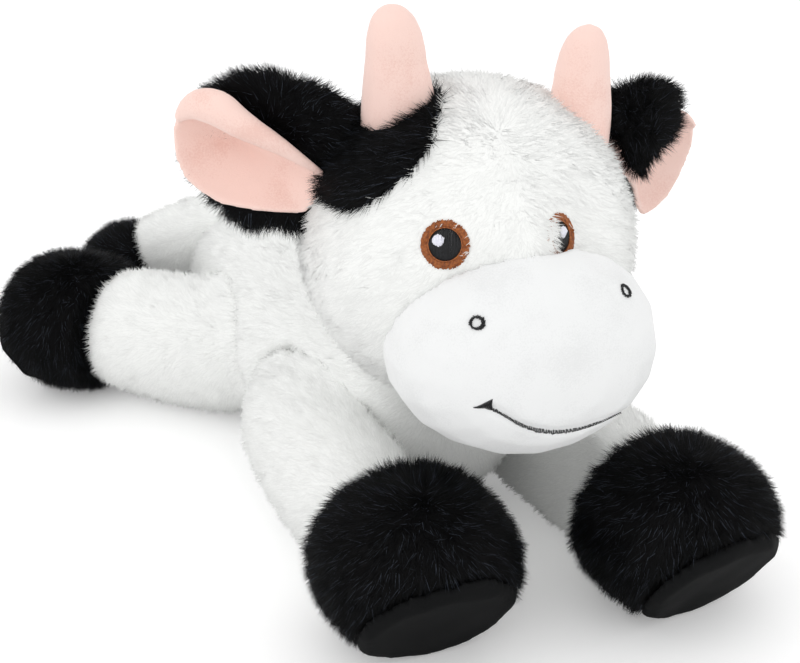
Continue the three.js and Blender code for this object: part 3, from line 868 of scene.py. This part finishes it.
class HeadOperator(bpy.types.Operator):
    """Makes the stuffed head with its black patch, muzzle and horns, and their pile"""

    bl_idname = "plush_cow.head"
    bl_label = "Make Head"

    def execute(self, context):
        head = soft_form(("head_stuffing",), "head_plush", voxel_mm=3.0, grow_mm=3.5)
        swell(head, face_relief)
        finish(head, "head", ("head_skin", "head_stuffing"), "white_plush", fill=0.8)
        skin = tree_of(head)

        muzzle = soft_form(
            ("muzzle", "chin"), "muzzle_plush", voxel_mm=2.0, grow_mm=0.8, relax=5,
            lumps=(0.7, 30.0), seed=3,
        )  # fmt: skip
        snout = tree_of(muzzle)
        mouth = [seen(pixel, snout)[0] for pixel in MOUTH]
        lines = list(zip(mouth, mouth[1:]))

        def seam(at, out):
            """Sinks the muzzle by 1.3 mm along the mouth, over 4 mm on either side of it."""
            near = math.inf
            for start, end in lines:
                along = end - start
                share = min(max((at - start).dot(along) / along.length_squared, 0.0), 1.0)
                near = min(near, (at - start - along * share).length / MM)
            return -1.3 * MM * (1 - eased(near, 0.0, 4.0))

        swell(muzzle, seam)
        finish(muzzle, "head", ("muzzle", "chin"), "white_minky", fill=0.8)
        snout = tree_of(muzzle)

        for side, slender in HORNS.items():
            horn = soft_form(
                ("horn_" + side,), "horn_plush_" + side, voxel_mm=1.8, grow_mm=0.6, relax=6,
                lumps=(1.0, 22.0), seed=4,
            )  # fmt: skip
            low, high = (Vector(corner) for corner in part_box("horn_" + side))
            places = [v.co for v in horn.data.vertices]
            foot, tip = (
                sum(part, Vector()) / len(part)
                for part in (
                    [at for at in places if at.z < low.z + HORN_FOOT],
                    [at for at in places if at.z > high.z - HORN_TIP],
                )
            )
            along = tip - foot
            for at in places:
                share = (at - foot).dot(along) / along.length_squared
                axis = foot + along * share
                at.xyz = axis + (at - axis) * between(slender, share)
                at.xyz = at - along * HORN_CUT * max(share, 0)
                back = HORN_BACK + HORN_FOOT_BACK * (1 - min(max(share, 0), 1))
                at.xyz = at - CAMERA_BACK * back
            horn.data.update()
            finish(horn, "head", ("horn_" + side,), "pink_minky", fill=0.8)

        # The patch is cut to the picture's edge where that shows, and round behind it.
        middle = head_point(*(HEAD_MIDDLE + PATCH_MIDDLE))
        facing = (middle - head_point(*HEAD_MIDDLE)).normalized()
        across = facing.cross(Vector((0, 0, 1))).normalized()
        up = across.cross(facing)

        def spread(at):
            flat = at - middle
            return math.atan2(flat.dot(up), flat.dot(across)), (flat - facing * flat.dot(facing))

        edge = [spread(seen(pixel, skin)[0]) for pixel in PATCH_EDGE]
        edge = sorted((angle, flat.length) for angle, flat in edge)

        def reach(angle):
            """How far the patch reaches from its middle, each way."""
            rows = [(a + turn, r) for turn in (-math.tau, 0, math.tau) for a, r in edge]
            for (a, r), (b, q) in zip(rows, rows[1:]):
                if a <= angle <= b:
                    share = (angle - a) / (b - a)
                    # Between points of the picture's edge the cloth goes a little past it.
                    if b - a < PATCH_GAP:
                        return r + (q - r) * share + PATCH_PAST
                    # Over the gap that the picture hides, it bows out.
                    bow = 0.5 - 0.5 * math.cos(math.tau * share)
                    return (r + (q - r) * share) * (1 - bow) + PATCH_REACH * bow
            return PATCH_REACH

        def patched(at, out, margin=0.0):
            if out.dot(facing) < 0.1 or (at - middle).length > 0.07:
                return False
            angle, flat = spread(at)
            return flat.length < reach(angle) + margin

        shape = joined([head])
        outside = [f for f in shape.faces if not patched(f.calc_center_median(), f.normal)]
        bmesh.ops.delete(shape, geom=outside, context="FACES")
        bmesh.ops.smooth_vert(
            shape, verts=[v for v in shape.verts if v.is_boundary], factor=0.5,
            use_axis_x=True, use_axis_y=True, use_axis_z=True,
        )  # fmt: skip
        for v in shape.verts:
            v.co += v.normal * PATCH_LIFT
        bmesh.ops.solidify(shape, geom=shape.faces[:], thickness=PATCH_THICK)
        patch = piece_of(shape, "head_patch_plush")
        patch.data.shade_smooth()
        finish(patch, "head", ("head_patch",), "black_plush", fill=0.2)

        horns = tree_of(*(bpy.data.objects["horn_plush_" + side] for side in HORNS))

        def back_and_down(at, out):
            side, ahead, _ = in_head(at) - HEAD_MIDDLE
            return head_way(side * 0.012, -0.35 - ahead * 0.002, -0.6)

        eyes = [(seen(EYES[side], skin)[0], side) for side in EYES]

        def no_white(at, out):
            if inside(snout, at + out * 0.001) or patched(at, out, 0.0015) or inside(horns, at):
                return True
            for eye, side in eyes:
                beside = in_head(at).x - in_head(eye).x
                if side == "left" and beside < -4.5 and (at - eye).length < EYE_TUFT_REACH:
                    return 1 - EYE_TUFT
                lean = back_and_down(at, out).normalized()
                close = min((at + lean * far - eye).length for far in (0.0, 0.0025, 0.005))
                if close < (EYE_INNER if beside < 6 else EYE_OUTER):
                    return True
            return False

        def no_black(at, out):
            return inside(horns, at) or out.dot(facing) < -0.1

        grow_pile(head, "head_pile", "head", "white", 301, back_and_down, no_white, thick=1.1)
        grow_pile(
            patch, "head_patch_fur", "head", "black", 311, back_and_down, no_black, clump=0.7
        )
        return {"FINISHED"}


# ---------------------------------------------------------------- ears

# Each ear in millimetres from its root: out along it, up across it and forward off it. The
# right ear is open, with a hem between its lining and its rolled rim. The left one's back is
# folded over as a flap. Edges go the way round from the tip. sign is the ear's side of the
# head, and rise how far it points up from level, in degrees.
EARS = {
    "right": {
        "sign": -1,
        "rise": 8,
        "lining": (
            (74, 8), (72, 16), (67, 21), (60, 25), (52, 26), (45, 22), (36, 18), (27, 15),
            (18, 10), (8, 5), (-2, 0), (0, -8), (3, -15), (7, -20), (20, -22.4), (33, -23.7),
            (46.5, -23.8), (57, -20), (66, -14.4), (71.6, -4.7),
        ),
        "outer": (
            (72, 9), (69, 19), (61, 26), (54, 31), (48, 35.5), (40, 38), (31, 39), (15, 37.5),
            (2, 35), (-8, 30), (-12, 0), (-4, -24), (8, -28), (22, -29), (31, -32), (38, -31),
            (44, -27), (53, -24), (62, -18), (69, -8),
        ),
        "rim": (
            (71, 13, 0.0, 2.0), (67, 19, 1.5, 5.0), (59, 23.5, 4.0, 8.0), (50, 23.4, 6.5, 8.4),
            (42, 19.6, 7.5, 7.2), (34, 16.6, 7.5, 6.0), (27, 14.0, 6.5, 5.0),
            (19, 10.8, 5.0, 3.8), (10, 6.2, 3.0, 2.6), (0, 1, 0.0, 1.2),
        ),
        "hem": (
            (54, 23.5, 0.8, 3.2), (46, 21.2, 1.0, 3.8), (38, 18.2, 1.2, 3.8),
            (30, 15.6, 1.2, 3.4), (20, 11.2, 1.0, 2.6),
        ),
    },
    "left": {
        "sign": 1,
        "rise": -12,
        "lining": (
            (77, 0), (75, 9), (71.6, 14.5), (61.7, 19.6), (53, 21), (40, 21), (20, 19), (2, 12),
            (-2, 0), (10, -8), (20, -12), (30, -17), (36.7, -22), (43, -31), (51, -36.5),
            (60, -33), (69, -26), (74.5, -14),
        ),
        "outer": (
            (75, 0), (73, 8), (68, 15), (60, 20), (52, 24), (46, 29), (38, 31), (28, 31),
            (16, 28), (2, 25), (-8, 20), (-12, 0), (4, -8), (14, -12), (24, -18), (34, -25),
            (42, -32), (51, -34), (59, -31), (67, -24), (72, -12),
        ),
        "rim": (
            (72, 12, 0.0, 1.2), (64, 17, 0.5, 1.6), (54, 19.5, 1.0, 2.0), (40, 20, 1.0, 2.0),
            (20, 18, 0.5, 1.5),
        ),
        "flap": (
            (-6, 24), (2, 26), (18, 28.5), (30, 31), (40, 30), (46, 26), (50, 20), (45, 12),
            (37, 3), (28.5, -5), (27, -11), (21.5, -8), (10.4, 1.5), (1, 8), (-6, 12),
        ),
        "fold": (
            (0, 23, -1, 5), (16, 26, 0, 6), (30, 28, 0, 6), (40, 26, 0, 5.5), (46, 22, 0, 3.5),
        ),
    },
}

# The depth of an ear's cup and the thickness of its cloths, in millimetres.
EAR_CUP, EAR_BACK, EAR_FLAP, EAR_LINING = 13.0, 8.0, 6.0, 2.5
EAR_RIM = 0.0022  # how near its lining an ear has no fur, in metres
EAR_SWEEP = 28  # how far an ear points back from straight out to the side, in degrees


class EarFrame:
    """An ear's own measures: out along it, up across it and forward off it."""

    def __init__(self, side):
        sign, rise = EARS[side]["sign"], math.radians(EARS[side]["rise"])
        sweep = math.radians(EAR_SWEEP)
        self.root = Vector(JOINTS[f"ear_{side}_flap"]["pos_m"])
        self.out = head_way(
            sign * math.cos(rise) * math.cos(sweep),
            -math.cos(rise) * math.sin(sweep),
            math.sin(rise),
        ).normalized()
        ahead = head_way(0, 1, 0)
        self.front = (ahead - self.out * ahead.dot(self.out)).normalized()
        self.up = self.front.cross(self.out).normalized()
        if self.up.z < 0:
            self.up.negate()

    def place(self, u, v, w):
        return self.root + (self.out * u + self.up * v + self.front * w) * MM


def on_edge(edge, u, v):
    """How far out a point lies from the middle of a cloth towards its edge: 1 on the edge."""
    mu = sum(p[0] for p in edge) / len(edge)
    mv = sum(p[1] for p in edge) / len(edge)
    du, dv = u - mu, v - mv
    far = math.hypot(du, dv)
    if far < 1e-6:
        return 0.0, (mu, mv)
    for (au, av), (bu, bv) in zip(edge, edge[1:] + edge[:1]):
        eu, ev = bu - au, bv - av
        cross = du * ev - dv * eu
        if abs(cross) < 1e-9:
            continue
        t = ((au - mu) * ev - (av - mv) * eu) / cross
        k = ((au - mu) * dv - (av - mv) * du) / cross
        if t > 0 and -1e-6 <= k <= 1 + 1e-6:
            return 1 / t, (mu + du * t, mv + dv * t)
    return 1.0, (u, v)


def cut_cloth(shape, edge, thick, depth, ear, step=2.0):
    """Cuts a padded cloth to an edge in an ear's measures, and bends it to a depth."""
    lows = [min(p[i] for p in edge) for i in (0, 1)]
    highs = [max(p[i] for p in edge) for i in (0, 1)]
    counts = [max(2, round((high - low) / step)) for low, high in zip(lows, highs)]
    cloth = bmesh.new()
    bmesh.ops.create_grid(cloth, x_segments=counts[0], y_segments=counts[1], size=0.5)
    for v in cloth.verts:
        v.co.x = lows[0] + (v.co.x + 0.5) * (highs[0] - lows[0])
        v.co.y = lows[1] + (v.co.y + 0.5) * (highs[1] - lows[1])
    beyond = [v for v in cloth.verts if on_edge(edge, v.co.x, v.co.y)[0] > 1.0]
    bmesh.ops.delete(cloth, geom=beyond, context="VERTS")
    for v in cloth.verts:
        if v.is_boundary:
            v.co.x, v.co.y = on_edge(edge, v.co.x, v.co.y)[1]
    for v in cloth.verts:
        share = on_edge(edge, v.co.x, v.co.y)[0]
        v.co.z = depth(v.co.x, v.co.y, share)
    bmesh.ops.recalc_face_normals(cloth, faces=cloth.faces[:])
    front = sum(v.co.z for v in cloth.verts) / len(cloth.verts)
    bmesh.ops.solidify(cloth, geom=cloth.faces[:], thickness=thick)
    if sum(v.co.z for v in cloth.verts) / len(cloth.verts) > front:
        bmesh.ops.translate(cloth, verts=cloth.verts[:], vec=(0, 0, -thick))
    for v in cloth.verts:
        v.co = ear.place(*v.co)
    bmesh.ops.recalc_face_normals(cloth, faces=cloth.faces[:])
    mesh = mesh_of(cloth, "cloth")
    shape.from_mesh(mesh)
    bpy.data.meshes.remove(mesh)


def roll(shape, points, ear):
    """Adds a stuffed roll along points of (u, v, w, radius) in an ear's measures."""
    row = [(ear.place(u, v, w), radius) for u, v, w, radius in points]
    mesh = tubes("roll", "NURBS", 4, [row])
    shape.from_mesh(mesh)
    bpy.data.meshes.remove(mesh)


class EarsOperator(bpy.types.Operator):
    """Makes the two ears: a furry black outside, a cupped pink lining and a folded upper edge"""

    bl_idname = "plush_cow.ears"
    bl_label = "Make Ears"

    def execute(self, context):
        for i, (side, cut) in enumerate(EARS.items()):
            ear = EarFrame(side)
            body = "ear_" + side
            open_ear = float(side == "right")

            def bowl(u, v, share):
                """The lining's cup, with a pocket in the open ear."""
                pocket = math.exp(-(((u - 44) / 20) ** 2) - ((v - 7) / 8) ** 2)
                return -EAR_CUP * (1 - min(share, 1.0) ** 2) - 4.0 * pocket * open_ear

            def behind(u, v, share):
                """Under the lining, and further back under its steep pocket."""
                inner = min(on_edge(cut["lining"], u, v)[0], 1.0)
                room = math.exp(-(((u - 42) / 26) ** 2) - ((v - 12) / 11) ** 2)
                return bowl(u, v, inner) - 3.0 - 1.5 * share - 5.0 * room * open_ear

            def over(u, v, share):
                """The flap, which falls forward from the fold."""
                return 7.0 - 5.0 * eased(v, 12, 30)

            shape = bmesh.new()
            cut_cloth(shape, cut["outer"], EAR_BACK, behind, ear)
            if "flap" in cut:
                cut_cloth(shape, cut["flap"], EAR_FLAP, over, ear)
                roll(shape, cut["fold"], ear)
            outer = piece_of(shape, "ear_plush_" + side)
            remesh(outer, 1.6, 5)
            outer.data.shade_smooth()
            finish(outer, body, (body,), "black_plush", fill=0.4)

            shape = bmesh.new()
            cut_cloth(shape, cut["lining"], EAR_LINING, bowl, ear)
            roll(shape, cut["rim"], ear)
            if "hem" in cut:
                roll(shape, cut["hem"], ear)
            lining = piece_of(shape, "ear_lining_plush_" + side)
            remesh(lining, 1.2, 4)
            lining.data.shade_smooth()
            finish(lining, body, ("ear_lining_" + side,), "pink_minky", fill=0.3)

            pink = tree_of(lining)
            middle = ear.place(35, 3, -8)

            def outward(at, out):
                return (at - middle).normalized() + Vector((0, 0, -0.35)) + ear.out * 0.3

            def bare(at, out):
                return pink.find_nearest(at)[3] < EAR_RIM or inside(pink, at)

            grow_pile(
                outer, "ear_fur_" + side, body, "black", 401 + 10 * i, outward, bare, clump=0.8
            )
        return {"FINISHED"}


# ---------------------------------------------------------------- face


def raised_stitch(start, middle, end, out):
    """One stitch of the smile: sunk at its ends, and raised between them."""
    return [start + out * 0.0001, middle + out * 0.0008, end + out * 0.0001]


def join_lines(name, groups, radius_mm):
    """One piece of stitches in several threads: (lines, material index) groups."""
    parts = []
    for i, (lines, index) in enumerate(groups):
        part = threads(f"{name}_{i}", lines, radius_mm)
        for polygon in part.data.polygons:
            polygon.material_index = index
        parts.append(part)
    piece = piece_of(joined(parts), name)
    for part in parts:
        bpy.data.objects.remove(part)
    piece.data.shade_smooth()
    return piece


class FaceOperator(bpy.types.Operator):
    """Stitches the eyes, nostrils and smile on the face"""

    bl_idname = "plush_cow.face"
    bl_label = "Stitch Face"

    def execute(self, context):
        chance = random.Random(5)
        skin = tree_of(bpy.data.objects["head_plush"])
        snout = tree_of(bpy.data.objects["muzzle_plush"])
        for side in EYES:
            at, out = seen(EYES[side], skin)
            hoop = Hoop(at, out, skin)
            above, below = satin_ring(
                hoop, IRIS, IRIS_HOLE, SATIN_STEP, chance, height=1.1, rough=0.4
            )
            # One thread runs round the pupil.
            turns = [math.tau * k / 40 for k in range(41)]
            edge = IRIS_HOLE + 0.15
            above.append([hoop.lay(edge * math.cos(a), edge * math.sin(a), 1.2) for a in turns])
            groups = ((above, 0), (below, 1))
            iris = join_lines("eye_iris_stitches_" + side, groups, EYE_THREAD)
            finish(iris, "head", ("eye_iris_" + side,), "brown_thread", "dark_brown_thread")
            lines = satin_disc(hoop, PUPIL, SATIN_STEP, chance, height=1.3, rough=0.2)
            pupil = threads("eye_pupil_stitches_" + side, lines, EYE_THREAD)
            finish(pupil, "head", ("eye_pupil_" + side,), "black_thread")
            spark = Hoop(hoop.lay(*GLINT_PLACE[side], 0.0), hoop.out, skin)
            lines = satin_disc(spark, GLINT, 0.45, chance, height=1.2, rough=0.3)
            lines = [[at + hoop.out * 0.001 for at in line] for line in lines]
            glint = threads("eye_glint_stitches_" + side, lines, EYE_THREAD)
            finish(glint, "head", ("eye_glint_" + side,), "white_thread")

            at, out = seen(NOSTRILS[side], snout)
            hoop = Hoop(at, out, snout)
            # Spokes round a hole, each turned a little, uneven at both ends.
            spokes = []
            for k in range(NOSTRIL_STITCHES):
                a = math.tau * k / NOSTRIL_STITCHES
                near = NOSTRIL_HOLE + chance.uniform(-0.3, 0.3)
                far = NOSTRIL + 0.4 * math.cos(a) + chance.uniform(-0.4, 0.4)
                start = (near * math.cos(a), near * math.sin(a))
                a += NOSTRIL_TWIST
                spokes.append(
                    hoop.stitch(start, (far * math.cos(a), 0.9 * far * math.sin(a)), 0.8)
                )
            nostril = threads("nostril_stitches_" + side, spokes, NOSTRIL_THREAD)
            finish(nostril, "head", ("nostril_" + side,), "black_thread")

        # The smile ends just short of the muzzle's edge.
        stitches = []
        for k in range(SMILE_STITCHES):
            share = k / (SMILE_STITCHES - 1) * 0.97
            pixel = [between([p[i] for p in MOUTH], share) for i in (0, 1)]
            ahead = [between([p[i] for p in MOUTH], share + 0.02) for i in (0, 1)]
            at, out = seen(pixel, snout)
            along = (seen(ahead, snout)[0] - at).normalized()
            aside = out.cross(along).normalized() + along * chance.uniform(-1.0, 0.4)
            half = between(MOUTH_STITCH_MM, share) / 2 * MM * chance.uniform(0.7, 1.3)
            stitches.append(raised_stitch(at - aside * half, at, at + aside * half, out))
        # The arrow's end at its near corner is filled with longer stitches.
        left, top, corner = (seen(pixel, snout) for pixel in TICK)
        for k in range(TICK_STITCHES):
            share = k / (TICK_STITCHES - 1)
            start = left[0].lerp(corner[0], share)
            end = left[0].lerp(top[0], share)
            middle = left[0].lerp(corner[0].lerp(top[0], 0.5), 0.45 + 0.4 * share)
            start = start.lerp(corner[0], 0.3 * share)
            top_end = end.lerp(middle, 0.25)
            middle = start.lerp(end, 0.5).lerp(middle, 0.4)
            stitches.append(raised_stitch(start, middle, top_end, left[1]))
        smile = threads("smile_stitches", stitches, SMILE_THREAD)
        finish(smile, "head", ("smile_stitching",), "black_thread")
        return {"FINISHED"}


# ---------------------------------------------------------------- stage


class StageOperator(bpy.types.Operator):
    """Sets the pale floor, the white backdrop, the soft lights and the camera"""

    bl_idname = "plush_cow.stage"
    bl_label = "Set Stage"

    def execute(self, context):
        scene = context.scene
        scene.view_settings.view_transform = "Standard"
        shape = bmesh.new()
        bmesh.ops.create_grid(shape, x_segments=1, y_segments=1, size=3.0)
        floor = piece_of(shape, "floor")
        # Matt white board, lifted a little where the camera sees it, as in a lit studio.
        material, tree, shader = new_material("studio_floor", 1.0, 0.0, 0.0)
        shader.inputs["Base Color"].default_value = srgb("F2F2F2")
        seen_ray = add_node(tree, "ShaderNodeLightPath").outputs["Is Camera Ray"]
        lift = add_node(tree, "ShaderNodeMath", {0: seen_ray, 1: 0.22}, operation="MULTIPLY")
        shader.inputs["Emission Color"].default_value = (1, 1, 1, 1)
        tree.links.new(lift.outputs[0], shader.inputs["Emission Strength"])
        floor.data.materials.append(material)

        # White all round: it lights the cow softly from every side, and is the backdrop.
        world = bpy.data.worlds.new("studio")
        world.use_nodes = True
        tree = world.node_tree
        tree.nodes.clear()
        links = {"Color": (1, 1, 1, 1), "Strength": 1.0}
        white = add_node(tree, "ShaderNodeBackground", links)
        add_node(tree, "ShaderNodeOutputWorld", {"Surface": white.outputs[0]})
        scene.world = world

        for name, spot, size, power in (
            ("key_light", (-1.4, -0.5, 0.8), 2.4, 5.5),
            ("fill_light", (0.6, -1.4, 0.45), 1.8, 2.0),
            ("top_light", (0.1, 0.5, 1.6), 2.0, 0.8),
        ):
            lamp = bpy.data.lights.new(name, "AREA")
            lamp.size = size
            lamp.energy = power
            lit = put(name, lamp)
            lit.location = spot
            lit.rotation_euler = (AIM - Vector(spot)).to_track_quat("-Z", "Y").to_euler()

        lens = bpy.data.cameras.new("camera")
        lens.sensor_width = 36.0
        lens.lens = FOCAL_PIXELS / PICTURE[0] * lens.sensor_width
        camera = put("camera", lens)
        camera.location = CAMERA_PLACE
        camera.rotation_euler = (-CAMERA_BACK).to_track_quat("-Z", "Y").to_euler()
        scene.camera = camera
        return {"FINISHED"}


OPERATORS = (
    BodyOperator,
    HoovesOperator,
    TailOperator,
    HeadOperator,
    EarsOperator,
    FaceOperator,
    StageOperator,
)


class PlushCowPanel(bpy.types.Panel):
    """Lists the cow's settings and operators in the sidebar"""

    bl_idname = "VIEW3D_PT_plush_cow"
    bl_label = "Plush Cow"
    bl_space_type = "VIEW_3D"
    bl_region_type = "UI"
    bl_category = "Plush Cow"

    def draw(self, context):
        for name in PlushCowSettings.__annotations__:
            self.layout.prop(context.scene.plush_cow, name)
        for operator in OPERATORS:
            self.layout.operator(operator.bl_idname)


CLASSES = (PlushCowSettings, *OPERATORS, PlushCowPanel)


def register():
    for item in CLASSES:
        bpy.utils.register_class(item)
    bpy.types.Scene.plush_cow = bpy.props.PointerProperty(type=PlushCowSettings)


def unregister():
    del bpy.types.Scene.plush_cow
    for item in reversed(CLASSES):
        bpy.utils.unregister_class(item)


def main():
    """Registers the add-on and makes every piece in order."""
    register()
    make_materials()
    for operator in OPERATORS:
        group, name = operator.bl_idname.split(".")
        getattr(getattr(bpy.ops, group), name)()


if __name__ == "__main__":
    main()
